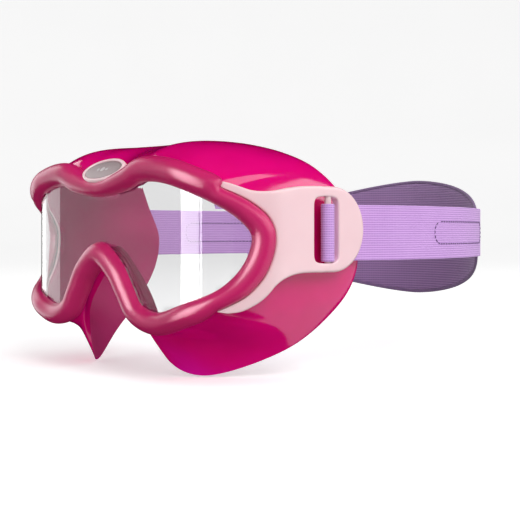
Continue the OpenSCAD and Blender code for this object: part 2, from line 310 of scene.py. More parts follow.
def at_knot(knots, k):
    """The smooth closed curve through the knots, at knot number k, which may be a fraction."""
    n = len(knots)
    i = math.floor(k)
    t = k - i
    p0, p1, p2, p3 = (knots[(i + j) % n] for j in (-1, 0, 1, 2))
    return p1 + t / 2 * (
        (p2 - p0) + t * ((2 * p0 - 5 * p1 + 4 * p2 - p3) + t * (3 * p1 - p0 - 3 * p2 + p3))
    )


# knots down one half from the brow to the nose: the lens's rim as distance along the lens and height,
# then the skirt's free edge and the shoulder that its wall bends over, as x, y, z
rim_knots = whole([
    [0, 18], [16.5, 20], [28.5, 23.7], [44.5, 22], [60, 16.4], [74, 8.2], [81, -1.4],
    [77.5, -14.5], [67, -25.2], [51, -31.8], [36.5, -35.6], [24.3, -32.3], [17.6, -24.2],
    [11, -15.7], [0, -9.4],
])
seal_knots = whole([
    [0, 0, 37.4], [17, 2, 37.2], [32, 7.5, 36.3], [48, 16, 32], [60, 23.5, 25], [66.5, 32.5, 13],
    [67, 39, -2], [68, 38, -17], [66, 28, -31.5], [58.5, 8, -47], [39, -15.3, -57.2],
    [26.5, -26.5, -51], [24.5, -29, -33], [13.5, -29, -18.5], [0, -30.5, -7],
])
shoulder_knots = whole([
    [0, -31, 33], [17, -32, 36], [31, -30, 38], [46, -22, 35], [62, -12, 26], [69, 2, 13],
    [69, 6, -2], [69.5, 4, -18], [67.5, -4, -33], [57.5, -7, -41], [38, -20, -41],
    [26.5, -31.5, -45], [21, -33.5, -30], [12, -34, -17.5], [0, -34.5, -8.5],
])
KNOTS = len(rim_knots)


def folded(k):
    """k counted on the wearer's left half, from 0 at the brow to 14 at the nose."""
    k = k % KNOTS
    return min(k, KNOTS - k)


def along(table, k):
    """The number that a table of [k, value] gives at k on either half."""
    return float(np.interp(folded(k), [t[0] for t in table], [t[1] for t in table]))


def rim_out(k):
    """The direction away from the lens, in the lens's own surface, at knot number k of the rim."""
    d = at_knot(rim_knots, k + 0.12) - at_knot(rim_knots, k - 0.12)
    d = d / np.linalg.norm(d)
    return np.array([-d[1], d[0]])


def on_rim(k, u, n):
    """The point u outside the rim at knot number k, and n in front of the lens."""
    p = at_knot(rim_knots, k) + u * rim_out(k)
    return on_shell(p[0], p[1], n)


# ---------------------------------------------------------------- mesh building
def finish_mesh(name, verts, faces, corner_uvs, material, sharp=38):
    """A smooth-shaded piece from points in mm; edges over sharp degrees stay crisp."""
    mesh = bpy.data.meshes.new(name)
    mesh.from_pydata([tuple(float(c) * MM for c in v) for v in verts], [], faces)
    layer = mesh.uv_layers.new(name="UVMap")
    layer.data.foreach_set("uv", [c for uv in corner_uvs for c in uv])
    work = bmesh.new()
    work.from_mesh(mesh)
    bmesh.ops.recalc_face_normals(work, faces=work.faces)
    work.to_mesh(mesh)
    work.free()
    mesh.shade_smooth()
    mesh.set_sharp_from_angle(angle=math.radians(sharp))
    mesh.materials.append(material.mat)
    piece = bpy.data.objects.new(name, mesh)
    bpy.context.scene.collection.objects.link(piece)
    return piece


def lengths(points, scale=1.0):
    """The distance from the first point to each one along a line, times scale."""
    far = [0.0]
    for a, b in zip(points, points[1:]):
        far.append(far[-1] + float(np.linalg.norm(b - a)) * scale)
    return far


def signed_area(loop):
    """Twice a loop's area, above zero when it runs counterclockwise."""
    return sum(a[0] * b[1] - b[0] * a[1] for a, b in zip(loop, loop[1:] + loop[:1]))


def circle(count):
    """Equally spaced angles once round."""
    return np.linspace(0, 2 * math.pi, count, endpoint=False)


def signed_power(value, power):
    """A power that keeps the sign: under 1 it makes a circle squarer, over 1 more pointed."""
    return math.copysign(abs(value) ** power, value)


def swept(rings, closed):
    """Vertices, faces and corner UVs in centimetres of a solid through rings of points."""
    count, size = len(rings), len(rings[0])
    verts = [p for ring in rings for p in ring]
    middles = [sum(ring) / size for ring in rings]
    far = lengths(middles + middles[:1], 0.1)
    ring = rings[count // 2]
    wide = lengths(ring + ring[:1], 0.1)
    faces, uvs = [], []
    for i in range(count if closed else count - 1):
        for j in range(size):
            a, b, k = i * size, ((i + 1) % count) * size, (j + 1) % size
            faces.append((a + j, b + j, b + k, a + k))
            uvs += [(far[i], wide[j]), (far[i + 1], wide[j]),
                    (far[i + 1], wide[j + 1]), (far[i], wide[j + 1])]
    if not closed:
        for start in (0, (count - 1) * size):
            faces.append(tuple(range(start, start + size)))
            uvs += [(0, w) for w in wide[:-1]]
    return verts, faces, uvs


def join_parts(parts):
    """One mesh's data from several."""
    verts, faces, uvs = [], [], []
    for v, f, t in parts:
        faces += [tuple(i + len(verts) for i in face) for face in f]
        verts += list(v)
        uvs += list(t)
    return verts, faces, uvs


def inward(points):
    """Unit normals towards the inside of a counterclockwise loop (outside of a clockwise one)."""
    n = len(points)
    found = []
    for i in range(n):
        d = points[(i + 1) % n] - points[i - 1]
        d = d / (np.linalg.norm(d) + 1e-9)
        found.append(np.array([-d[1], d[0]]))
    return found


def inside(point, loop):
    """Whether a point in the plane lies inside a loop."""
    x, y = point
    hit = False
    for (ax, ay), (bx, by) in zip(loop, loop[1:] + loop[:1]):
        if (ay > y) != (by > y) and x < ax + (y - ay) / (by - ay) * (bx - ax):
            hit = not hit
    return hit


def edge_rings(points, front, rear, thick, steps):
    """The rounded edge of a plate as rings of (point in the plane, depth), from its front to its rear."""
    normals = inward(points)
    quarter = [k / steps * math.pi / 2 for k in range(steps + 1)]
    rings = [[(p + m * r * (1 - math.sin(t)), r * (1 - math.cos(t)))
              for p, m, r in zip(points, normals, front)] for t in quarter]
    rings += [[(p + m * r * (1 - math.cos(t)), thick - r * (1 - math.sin(t)))
               for p, m, r in zip(points, normals, rear)] for t in quarter]
    return rings


def grid_points(outlines, grid):
    """Points of a grid inside the first outline and outside the others, clear of all of them."""
    a_step, b_step = grid
    border = np.array([p for loop in outlines for p in loop])
    low, high = border.min(0), border.max(0)
    found = []
    for b in np.arange(math.ceil(low[1] / b_step) * b_step, high[1], b_step):
        # where the row crosses the outlines
        cuts = sorted(
            ax + (b - ay) / (by - ay) * (bx - ax)
            for loop in outlines
            for (ax, ay), (bx, by) in zip(loop, loop[1:] + loop[:1])
            if (ay > b) != (by > b)
        )
        for c0, c1 in zip(cuts[::2], cuts[1::2]):
            for a in np.arange(math.ceil(c0 / a_step) * a_step, c1, a_step):
                if a - c0 > 0.3 * a_step and c1 - a > 0.3 * a_step:
                    found.append((a, b))
    if not found:
        return []
    cloud = np.array(found)
    near = min(a_step, b_step) * 0.45
    keep = np.ones(len(cloud), bool)
    block = 64  # outline points compared at a time
    for first in range(0, len(border), block):
        gap = np.abs(cloud[:, None, :] - border[first : first + block][None]) / near
        keep &= ~(gap.max(2) < 1).any(1)
    return [tuple(p) for p in cloud[keep]]


def plate(loops, place, thick, grid, steps, relief=None):
    """A curved plate with rounded edges.

    loops are (points, front rounding, rear rounding), the outline counterclockwise and holes clockwise.
    place(a, b, depth) gives the point in space, grid is the inner points' spacing in a and b, steps is
    the number of faces round each edge, and relief(a, b) sinks both faces.
    """
    edges_of = [edge_rings(points, front, rear, thick, steps) for points, front, rear in loops]
    outlines = [[tuple(p) for p, _ in rings[0]] for rings in edges_of]
    inner = grid_points(outlines, grid)

    # flat triangles between the outlines' front rings and the inner points
    flat, borders, ids = [], [], []
    for loop_number, outline in enumerate(outlines):
        first = len(flat)
        for i, (a, b) in enumerate(outline):
            flat.append(Vector((float(a), float(b))))
            ids.append((loop_number, i))
            borders.append((first + i, first + (i + 1) % len(outline)))
    for i, (a, b) in enumerate(inner):
        flat.append(Vector((float(a), float(b))))
        ids.append((None, i))
    points, _, found, source, _, _ = delaunay_2d_cdt(flat, borders, [], 1, 1e-7)
    triangles = []
    for face in found:
        middle = sum((points[v] for v in face), Vector((0, 0))) / len(face)
        in_hole = any(inside(middle, loop) for loop in outlines[1:])
        if not in_hole and all(source[v] for v in face):
            triangles.append([ids[source[v][0]] for v in face])

    verts, vert_uvs = [], []

    def add(a, b, depth):
        if relief is not None:
            depth = depth + relief(a, b) * (1 if depth < thick / 2 else -1)
        verts.append(place(a, b, depth))
        vert_uvs.append((a / 10, b / 10))
        return len(verts) - 1

    made = [[[add(p[0], p[1], d) for p, d in ring] for ring in rings] for rings in edges_of]
    sides = [[add(a, b, depth) for a, b in inner] for depth in (0.0, thick)]
    faces = []
    for side, edge_ring, order in ((0, 0, 1), (1, -1, -1)):
        for triangle in triangles:
            corners = [sides[side][i] if loop_number is None else made[loop_number][edge_ring][i]
                       for loop_number, i in triangle]
            faces.append(tuple(corners[::order]))
    for rings in made:
        count = len(rings[0])
        for r0, r1 in zip(rings, rings[1:]):
            faces += [(r0[i], r0[(i + 1) % count], r1[(i + 1) % count], r1[i]) for i in range(count)]
    return verts, faces, [vert_uvs[v] for face in faces for v in face]


def spaced(points, step, closed=False):
    """The polyline through points, walked in equal steps of about that length."""
    pts = [np.array(p, float) for p in points]
    if closed:
        pts = pts + [pts[0]]
    far = lengths(pts)
    count = max(2, round(far[-1] / step))
    stops = np.linspace(0, far[-1], count + 1)
    if closed:
        stops = stops[:-1]
    table = np.array(pts)
    return [np.array([np.interp(t, far, column) for column in table.T]) for t in stops]


def curved(knots):
    """A smooth open curve through knots."""
    per_knot = 6
    pts = [np.array(p, float) for p in knots]
    padded = [2 * pts[0] - pts[1]] + pts + [2 * pts[-1] - pts[-2]]
    return [at_knot(padded, 1 + i / per_knot) for i in range((len(pts) - 1) * per_knot)] + [pts[-1]]


def rounded_corners(points, rounds):
    """Cuts the corners of an open line, a little each round."""
    pts = [np.array(p, float) for p in points]
    for _ in range(rounds):
        new = [pts[0]]
        for a, b in zip(pts, pts[1:]):
            new += [0.75 * a + 0.25 * b, 0.25 * a + 0.75 * b]
        pts = new + [pts[-1]]
    return pts


# ---------------------------------------------------------------- rim bead
# the bead's outer side, crest height and inner side at knot numbers down one half
bead_out = [
    [0, 3.0], [0.35, 3.2], [0.7, 4.1], [1.1, 4.9], [1.8, 5.2], [3.7, 5.2], [4.0, 5.5], [4.12, 5.2],
    [4.2, 3.6], [4.26, 2.0], [4.4, 2.1], [4.7, 2.7], [5, 3.3], [5.5, 4.2], [6, 4.6], [7, 4.6],
    [7.6, 4.0], [8, 2.8], [8.3, 2.4], [8.45, 3.4], [8.7, 4.3], [10, 4.3], [12, 4.6], [13, 4.9],
    [14, 5.2],
]
bead_high = [
    [0, 4.3], [1, 4.6], [2, 4.9], [3.6, 4.9], [4.0, 5.1], [4.2, 4.5], [5, 4.4], [9, 4.4], [11, 4.5],
    [13, 4.9], [14, 5.1],
]
bead_in = [[0, -4.3], [1, -4.4], [2, -4.8], [4, -4.7], [9, -4.5], [11, -4.5], [13, -4.8], [14, -5.1]]
RINGS_PER_KNOT = 16
ring_numbers = [i / RINGS_PER_KNOT for i in range(KNOTS * RINGS_PER_KNOT)]
lip_height = 0.12  # how far in front of the lens the bead's inner lip lies


def bead_ring(k):
    """The bead's section at knot number k: a lip on the lens, a round crest and a skirt over the frame."""
    out, high, inn = along(bead_out, k), along(bead_high, k), along(bead_in, k)
    # the rings lean over at the step beside the arm's upper horn, which makes the step overhang a little
    lean = 0.037 * math.exp(-(((folded(k) - 4.2) / 0.12) ** 2))
    side = 1 if (k % KNOTS) < KNOTS / 2 else -1
    mid, half = (out + inn) / 2, (out - inn) / 2
    points = [(inn + 2.0, lip_height), (inn + 1.0, lip_height)]
    points += [
        (mid + half * math.cos(a), max(lip_height, high * math.sin(a)))
        for a in np.linspace(math.radians(178), 0, 22)
    ]
    points += [(out, -0.6), (out - 0.1, -1.6), (out - 0.35, -2.6), (out - 0.8, -3.3), (out - 1.5, -3.4)]
    points += [(min(out - 1.6, 1.9), -2.6), (min(out - 1.6, 1.9), 0.5), (inn + 2.4, 0.5)]
    return [on_rim(k + side * lean * max(0, u - 1.8), u, n) for u, n in points]


bead = finish_mesh("rim_bead_soft", *swept([bead_ring(k) for k in ring_numbers], True), mat_bead)
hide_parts("rim_bead")
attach(bead, "mask")


# ---------------------------------------------------------------- hard frame and brow boss
def frame_ring(k):
    """The hard frame's L-shaped section, which holds the lens's edge."""
    out = min(1.8, along(bead_out, k) - 1.7)
    points = [(-2.9, -3.4), (out, -3.4), (out, 0.3), (-2.2, 0.3), (-2.4, 0.1), (-2.4, -2.3),
              (-2.9, -2.3), (-3.1, -2.5), (-3.1, -3.2)]
    return [on_rim(k, u, n) for u, n in points]


boss_ahead = lens_ahead - 0.5
boss_rise = 25.1
boss_tilt = math.radians(45)
boss_half = (13.75, 6.85)


def on_boss(x, y, h):
    """x across, y up the tilted face, h out of it."""
    c, s = math.cos(boss_tilt), math.sin(boss_tilt)
    return np.array([x, -boss_ahead + y * c - h * s, boss_rise + y * s + h * c])


def boss_oval(middle, a, b, h, count=96):
    """An oval on the boss's face: its middle's x, half its width and height, and how far it stands out."""
    return [on_boss(middle + a * math.cos(t), b * math.sin(t), h) for t in circle(count)]


def inset_ovals(profile):
    """The boss's outline drawn in and raised by each (inset, height) of a profile."""
    return [boss_oval(0, boss_half[0] - inset, boss_half[1] - inset, h) for inset, h in profile]


def neck_rings(wide, deep, low, high):
    """A small rounded block between the frame and the boss."""
    chamfer, behind = 0.3, 0.2
    rings = []
    for z, pinch in ((low, chamfer), (low + chamfer, 0), (high - chamfer, 0), (high, chamfer)):
        w, d = wide / 2 - pinch, deep / 2 - pinch
        rings.append([
            np.array([w * signed_power(math.cos(t), 0.4),
                      behind - boss_ahead + d * signed_power(math.sin(t), 0.4), z])
            for t in circle(32)
        ])
    return rings


# (inset, height) from the boss's back, round its rim, to the floor of the badge's recess
boss_profile = [(0.6, -3.2), (0.25, -3.1), (0.05, -2.8), (0, -2.3), (0, -1.0), (0.08, -0.55), (0.3, -0.2),
                (0.6, -0.03), (0.9, 0.0), (1.2, -0.02), (1.5, -0.15), (1.65, -0.4), (1.7, -0.9)]
parts = [
    swept([frame_ring(k) for k in ring_numbers], True),
    swept(inset_ovals(boss_profile), False),
    swept(neck_rings(wide=12, deep=2.2, low=19.8, high=22.8), False),
]
lens_frame = finish_mesh("lens_frame_hard", *join_parts(parts), mat_pink)
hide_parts("lens_frame")
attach(lens_frame, "mask")

# the badge has a short upright edge and a low crown
badge_inset = 1.8
badge_rings = inset_ovals([(badge_inset, -0.88), (badge_inset, -0.5), (badge_inset + 0.08, -0.36)])
for size in (0.97, 0.92, 0.84, 0.74, 0.62, 0.48, 0.34, 0.2, 0.08):
    a, b = ((half - badge_inset) * size for half in boss_half)
    badge_rings.append(boss_oval(0, a, b, -0.11 - 0.17 * size ** 3))
badge = finish_mesh("brow_badge_oval", *swept(badge_rings, False), mat_badge)
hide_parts("brow_badge")
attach(badge, "mask")

# three plain raised dots, the middle one larger
dot_pitch = 3
dot_profile = ((1, -0.3), (1, -0.05), (0.94, 0.03), (0.8, 0.08), (0.5, 0.11), (0.15, 0.12))
dots = []
for spot in (-1, 0, 1):
    r = 1.2 - 0.4 * abs(spot)
    dots.append(swept([boss_oval(dot_pitch * spot, r * q, r * q, h, 40) for q, h in dot_profile], False))
emblem = finish_mesh("badge_dots", *join_parts(dots), mat_mark)
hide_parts("badge_emblem")
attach(emblem, "mask")

# ---------------------------------------------------------------- lens
lens_inset = 2.5
lens_loop = [at_knot(rim_knots, k / 8) - lens_inset * rim_out(k / 8) for k in range(KNOTS * 8)]
if signed_area(lens_loop) < 0:
    lens_loop = lens_loop[::-1]
lens_round = [0.15] * len(lens_loop)
data = plate(
    [(lens_loop, lens_round, lens_round)], lambda s, z, d: on_shell(s, z, -d), lens_thick, (1.5, 4), 2,
)
lens = finish_mesh("lens_clear", *data, glass, sharp=50)
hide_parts("lens")
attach(lens, "mask")

# ---------------------------------------------------------------- face skirt
WALL = 18  # steps from the rim to the free edge
UNDER_RIM = 3  # steps of the wall that the flange on the frame covers from inside


def bend_curve(a, b, c, t):
    """A quadratic curve from a to c that leans towards b."""
    return (1 - t) ** 2 * a + 2 * t * (1 - t) * b + t * t * c


def skirt_ring(k):
    """The skirt's section at knot number k: wall, rounded free edge, inner wall and flange on the frame."""
    out = rim_out(k)
    inner = -np.array([out[0], 0, out[1]])
    start = on_rim(k, min(3.2, along(bead_out, k) - 0.9), -3.5)
    shoulder, seal = at_knot(shoulder_knots, k), at_knot(seal_knots, k)
    wall = [bend_curve(start, shoulder, seal, t / WALL) for t in range(WALL + 1)]
    back = wall[-1] - wall[-2]
    back = back / np.linalg.norm(back)
    thick = [1.7 - 0.7 * (t / WALL) ** 3 for t in range(WALL + 1)]
    edge_round = 0.5
    edge = [
        wall[-1] + inner * thick[-1] * (1 - math.cos(t)) / 2 + back * edge_round * (math.sin(t) - 1)
        for t in (0.25 * math.pi, 0.5 * math.pi, 0.75 * math.pi)
    ]
    outer = wall[:-1] + [wall[-1] - edge_round * back]
    inside_wall = [wall[t] + inner * thick[t] for t in range(WALL, UNDER_RIM, -1)]
    inside_wall[0] = inside_wall[0] - edge_round * back
    flange = [on_rim(k, 1.0, -5.8), on_rim(k, -1.2, -5.3), on_rim(k, -3.4, -5.2), on_rim(k, -3.8, -4.9),
              on_rim(k, -3.8, -3.8), on_rim(k, -3.4, -3.5)]
    return outer + edge + inside_wall + flange


skirt_rings = [skirt_ring(k) for k in ring_numbers]
skirt = finish_mesh("face_skirt_soft", *swept(skirt_rings, True), mat_skirt, sharp=60)
# past the wall and the free edge's three points comes the inside: rougher, and painted darker as painted
# shade inside the mask
skirt.data.materials.append(mat_skirt_inside_painted_shade.mat)
for face in skirt.data.polygons:
    if face.index % len(skirt_rings[0]) >= WALL + 3:
        face.material_index = 1
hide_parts("face_skirt")
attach(skirt, "mask")

# ---------------------------------------------------------------- side arms
# in plan an arm lies along the lens's straight side, bends back and runs straight to the rear
arm_out = 76.1  # x of the outer face at the rear
arm_thick = 3.6
arm_face = 1.0  # how far the outer face stands in front of the lens
arm_bend = 16.0  # radius of the bend
bend_from = on_shell(corner_end, 0, arm_face)
bend_x = arm_out - arm_bend
bend_y = (bend_x - bend_from[0]) * math.tan(side_turn) + bend_from[1] + arm_bend / math.cos(side_turn)
bend_angle = side_turn - math.pi / 2
touch = np.array([bend_x + arm_bend * math.cos(bend_angle), bend_y + arm_bend * math.sin(bend_angle)])
straight_s = corner_end + float(np.linalg.norm(touch - bend_from[:2]))
bend_len = -arm_bend * bend_angle
BACK = straight_s + bend_len - bend_y  # on the rear part, s is this much more than y


def on_arm(s, z, depth, side):
    """The point at distance s along an arm, height z and depth in from its outer face."""
    if s <= straight_s:
        p = on_shell(s, z, arm_face - depth)
    elif s < straight_s + bend_len:
        a = bend_angle + (s - straight_s) / arm_bend
        r = arm_bend - depth
        p = np.array([bend_x + r * math.cos(a), bend_y + r * math.sin(a), z])
    else:
        p = np.array([arm_out - depth, s - BACK, z])
    return np.array([side * p[0], p[1], p[2]])


lug_s, lug_z, lug_radius = BACK + 17.5, 0.6, 16.7  # the round rear end
lug_from = 110  # s where the edge's straight part reaches the lug
horn_from, horn_to = 4.24, 8.3  # knot numbers of the rim between the two horns
horn_tip, horn_long = 62.5, 14
top_edge = [[65.6, 18.3], [68.4, 17.7], [72.1, 16.5], [76.2, 15.2], [80.3, 14.8], [85.2, 15.1],
            [91.6, 16.1], [98, 16.9], [104.5, 17.25], [110, 17.3]]
low_edge = [[110, -16.05], [104.5, -15.95], [98, -16.1], [92.6, -17.0], [88.6, -18.5], [85.7, -20.6],
            [83.4, -23.1], [80.3, -26], [76, -28.6], [72.1, -30.1], [67.6, -30.6]]
outline = curved(top_edge)
outline += [np.array([lug_s + lug_radius * math.sin(t), lug_z + lug_radius * math.cos(t)])
            for t in np.linspace(0, math.pi, 60)]
outline += curved(low_edge)
outline += [at_knot(rim_knots, horn_to) + (along(bead_out, horn_to) + 0.25) * rim_out(horn_to)]
outline += [at_knot(rim_knots, k) + (along(bead_out, k) + 0.05) * rim_out(k)
            for k in np.linspace(horn_to, horn_from, 90)]
outline = spaced(outline, 0.7, closed=True)[::-1]
if signed_area(outline) < 0:
    outline = outline[::-1]
# the edge's rounding grows from the narrow horns to the lug
arm_round, arm_rear = [], []
for p in outline:
    near_tip = min(1, max(0.12, (p[0] - horn_tip) / horn_long))
    arm_round.append((1.3 if p[0] > lug_from else 1.0) * near_tip)
    arm_rear.append(0.5 * near_tip)


def slot_loop():
    """The strap slot: straight sides, gently arched ends and soft corners."""
    half_wide, half_high, arch_radius, arch_points = 6.7, 13.0, 30.0, 15
    middle = np.array([BACK + 12.9, 0.4])
    arch = []
    for x in half_wide * np.linspace(-1, 1, arch_points):
        arch.append([x, math.sqrt(arch_radius ** 2 - x * x) - arch_radius + half_high])
    ring = arch + [[-x, -y] for x, y in arch]
    soft = []
    for i, corner in enumerate(ring):
        p, q = np.array(corner), np.array(ring[(i + 1) % len(ring)])
        soft.append(p)
        if i % arch_points == arch_points - 1:
            # a straight side, cut finely
            soft += [p + (q - p) * t for t in np.linspace(0.04, 0.96, 24)]
    for _ in range(6):
        soft = [0.25 * before + 0.5 * p + 0.25 * after
                for before, p, after in zip(soft[-1:] + soft[:-1], soft, soft[1:] + soft[:1])]
    return [p + middle for p in soft]


slot_points = slot_loop()
if signed_area(slot_points) > 0:
    slot_points = slot_points[::-1]
slot_round, slot_rear = [0.7] * len(slot_points), [0.4] * len(slot_points)
for side, word in ((1, "left"), (-1, "right")):
    data = plate(
        [(outline, arm_round, arm_rear), (slot_points, slot_round, slot_rear)],
        lambda s, z, d, side=side: on_arm(s, z, d, side), arm_thick, (1.3, 1.3), 5,
    )
    arm = finish_mesh(word + "_arm_shell", *data, mat_pink, sharp=45)
    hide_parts(word + "_arm")
    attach(arm, "mask")

# ---------------------------------------------------------------- strap
# in plan the strap is part of an ellipse; angles are in degrees from its widest place towards the back
loop_half = (77.0, 105.0)
loop_middle = 65.0
web_width = 22.4
web_middle = -0.7
web_thick = 1.2
layer_gap = 0.1
pitch = web_thick + layer_gap
pin_place = np.array([arm_out - arm_thick / 2, 15.0])
pin_radius, pin_gap = 1.3, 0.2
wrap_radius = pin_radius + pin_gap + web_thick / 2
# middles of the three layers inside the ellipse: webbing, panel, webbing
outer_inset = web_thick / 2
panel_inset = outer_inset + pitch
inner_inset = outer_inset + 2 * pitch
straight_to = -8  # the ellipse starts here
web_end = 53
parting = 8  # the webbing's inner run leaves the seam over this angle
seams = {"left": 4, "right": -8}  # where the sewn layers start


def on_loop(angle, inset):
    """The point in plan at an angle round the strap's ellipse, inset from it."""
    a = math.radians(angle)
    n = np.array([math.cos(a) / loop_half[0], math.sin(a) / loop_half[1]])
    n = n / np.linalg.norm(n)
    return np.array([loop_half[0] * math.cos(a), loop_middle + loop_half[1] * math.sin(a)]) - inset * n


def span(a0, a1, inset, count):
    """Points in plan from angle a0 to a1, at one inset."""
    return [on_loop(a0 + (a1 - a0) * i / count, inset) for i in range(count + 1)]


def on_wrap(angle):
    """The point in plan at an angle round the pin, on the webbing's middle line."""
    a = math.radians(angle)
    return pin_place + wrap_radius * np.array([math.cos(a), math.sin(a)])


def web_path(seam):
    """The webbing's middle line in plan: from its inner end, round the pin and back to its outer end."""
    inner = [pin_place - [wrap_radius, 0.0]]
    inner += [np.array(p) for p in ([70.5, 19], [69.8, 24], [69.9, 33], [70.9, 39], [72.1, 44])]
    if seam - parting > straight_to:
        inner += span(straight_to, seam - parting, panel_inset, 3)
    inner += span(seam, web_end, inner_inset, 20)
    wrap = [on_wrap(angle) for angle in np.linspace(-172, 52, 33)]
    outer = [on_wrap(60)]
    outer += [np.array(p) for p in ([71.2, 19.4], [71.1, 24], [71.2, 33], [72.4, 39], [73.9, 45])]
    outer += span(straight_to, web_end, outer_inset, 26)
    inner_line = rounded_corners(inner[::-1], 2)
    outer_line = rounded_corners(outer, 2)
    step = 2.2
    before = spaced(inner_line, step)[:-1] + [inner_line[-1]]
    return before + wrap + [outer_line[0]] + spaced(outer_line, step)[1:]


def strip(path, side):
    """The ribbed webbing on its edge along a path in plan; ribs run along it, on both faces."""
    half = web_width / 2
    edge_round, rib_depth, per_rib = 0.35, 0.11, 4
    top = []
    for z in np.arange(-half + edge_round, half - edge_round + 1e-6, RIB / per_rib):
        fade = min(1, half - abs(z))
        groove = rib_depth * (0.5 - 0.5 * math.cos(2 * math.pi * z / RIB)) * fade
        top.append((z, web_thick / 2 - groove))
    top += [(half - edge_round + edge_round * math.sin(t), web_thick / 2 * math.cos(t))
            for t in np.linspace(0.5, math.pi - 0.5, 5)]
    section = top + [(-z, -n) for z, n in top]
    rings = []
    for i, p in enumerate(path):
        d = path[min(i + 1, len(path) - 1)] - path[max(i - 1, 0)]
        d = d / np.linalg.norm(d)
        rings.append([np.array([side * (p[0] + d[1] * n), p[1] - d[0] * n, web_middle + z])
                      for z, n in section])
    verts, faces, uvs = swept(rings, False)
    # across is the height on the strip, so that the weave keeps step with the ribs
    corners = [v for face in faces for v in face]
    uvs = [(along_it, section[v % len(section)][0] / 10) for (along_it, _), v in zip(uvs, corners)]
    return verts, faces, uvs


for word, side in (("left", 1), ("right", -1)):
    strap = finish_mesh(word + "_strap_webbing", *strip(web_path(seams[word]), side), mat_web, sharp=60)
    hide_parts(word + "_strap")
    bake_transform(strap)

# ---------------------------------------------------------------- back panel
panel_shift = 9.0  # the leaf's middle lies this far to the wearer's right
panel_reach = 64.0  # half the leaf's width
panel_tall = 30.0  # half its height
panel_middle = -3.0
tail_half = (web_width - 2) / 2
leaf_tip = 1.2  # over 1 makes the leaf's ends more pointed
binding_width = 1.5
# the panel's middle line in plan, from its left end round the back to its right end
plan_points = span(seams["left"] + 0.15, 90, panel_inset, 200)
plan_points += [p * [-1, 1] for p in span(seams["right"] + 0.15, 90, panel_inset, 200)[-2::-1]]
plan_far = lengths(plan_points)
plan_x, plan_y = np.array(plan_points).T
PANEL_LONG = plan_far[-1]
# the rear part of that line, where x falls all the way, turned round so that x grows
rear_x = plan_x[plan_y > 85][::-1]
rear_far = np.array(plan_far)[plan_y > 85][::-1]


def on_plan(t):
    """The point in plan at distance t along the panel's middle line."""
    return np.array([np.interp(t, plan_far, plan_x), np.interp(t, plan_far, plan_y)])


def on_panel(t, z, depth):
    """t along the panel from its left end, depth inwards from its outer face."""
    d = on_plan(t + 0.5) - on_plan(t - 0.5)
    d = d / np.linalg.norm(d)
    p = on_plan(t) + np.array([d[1], -d[0]]) * (web_thick / 2 - depth)
    return np.array([p[0], p[1], z])


def leaf(margin, count=180):
    """The leaf's outline, larger by margin, as (t along the panel, z)."""
    found = []
    for a in circle(count):
        x = -panel_shift + (panel_reach + margin) * signed_power(math.cos(a), leaf_tip)
        z = panel_middle + (panel_tall + margin) * math.sin(a)
        found.append(np.array([float(np.interp(x, rear_x, rear_far)), z]))
    return found


tail_top, tail_low = web_middle + tail_half, web_middle - tail_half
leaf_points = leaf(-binding_width)
upper = sorted([p for p in leaf_points if p[1] > tail_top], key=lambda p: p[0])
lower = sorted([p for p in leaf_points if p[1] < tail_low], key=lambda p: -p[0])
# the tails meet the leaf in small corners
corner = 0.4
panel_outline = [[0, tail_low], [0, tail_top], [upper[0][0] - corner, tail_top]]
panel_outline += [list(p) for p in upper] + [[upper[-1][0] + corner, tail_top]]
panel_outline += [[PANEL_LONG, tail_top], [PANEL_LONG, tail_low], [lower[0][0] + corner, tail_low]]
panel_outline += [list(p) for p in lower] + [[lower[-1][0] - corner, tail_low]]
panel_outline = spaced(panel_outline, 1.2, closed=True)
if signed_area(panel_outline) < 0:
    panel_outline = panel_outline[::-1]


def rib_relief(_, z):
    """The depth of the panel's ribs at height z."""
    return 0.09 * (0.5 - 0.5 * math.cos(2 * math.pi * z / PANEL_RIB))


panel_round = [0.35] * len(panel_outline)
data = plate(
    [(panel_outline, panel_round, panel_round)], on_panel, web_thick, (4.0, PANEL_RIB / 4), 3, rib_relief,
)
panel = finish_mesh("back_panel_elastic", *data, mat_panel, sharp=60)
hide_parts("back_panel")
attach(panel, "strap")

# thin edging round the leaf, above and below the tails
edging_clear = 0.5
edge_line = leaf(-binding_width / 2, 360)
edging = []
for line in (
    [p for p in edge_line if p[1] > tail_top + edging_clear],
    [p for p in edge_line if p[1] < tail_low - edging_clear],
):
    line = spaced(sorted(line, key=lambda p: p[0]), 1.5)
    rings = []
    for i, p in enumerate(line):
        d = line[min(i + 1, len(line) - 1)] - line[max(i - 1, 0)]
        d = d / np.linalg.norm(d)
        ring = []
        for a in circle(16):
            u = binding_width / 2 * signed_power(math.cos(a), 0.7)
            n = 0.7 * signed_power(math.sin(a), 0.7)
            ring.append(on_panel(p[0] - d[1] * u, p[1] + d[0] * u, web_thick / 2 + n))
        rings.append(ring)
    edging.append(swept(rings, False))
binding = finish_mesh("panel_edging", *join_parts(edging), mat_edge)
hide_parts("panel_binding")
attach(binding, "strap")

# ---------------------------------------------------------------- stitching
oval_tall = 9.5
oval_from, oval_sweep = 3, 34  # the oval's start past the seam and its length, in degrees round the loop
# a stitch is a short thread: its radius and how far it dips into the cloth, from end to end
stitch_radius = (0.07, 0.2, 0.24, 0.24, 0.2, 0.07)
stitch_dip = (0.16, 0.05, 0, 0, 0.05, 0.16)
stitch_proud = 0.12


def stitch_line(long_side):
    """A long oval of points, as distance along the strap and height."""
    r = oval_tall / 2
    ends = np.linspace(0, math.pi, 20)[1:-1]
    oval = [[x, r] for x in np.linspace(r, long_side - r, 20)]
    oval += [[long_side - r + r * math.sin(t), r * math.cos(t)] for t in ends]
    oval += [[x, -r] for x in np.linspace(long_side - r, r, 20)]
    oval += [[r - r * math.sin(t), -r * math.cos(t)] for t in ends]
    return spaced(oval, 0.35, closed=True)


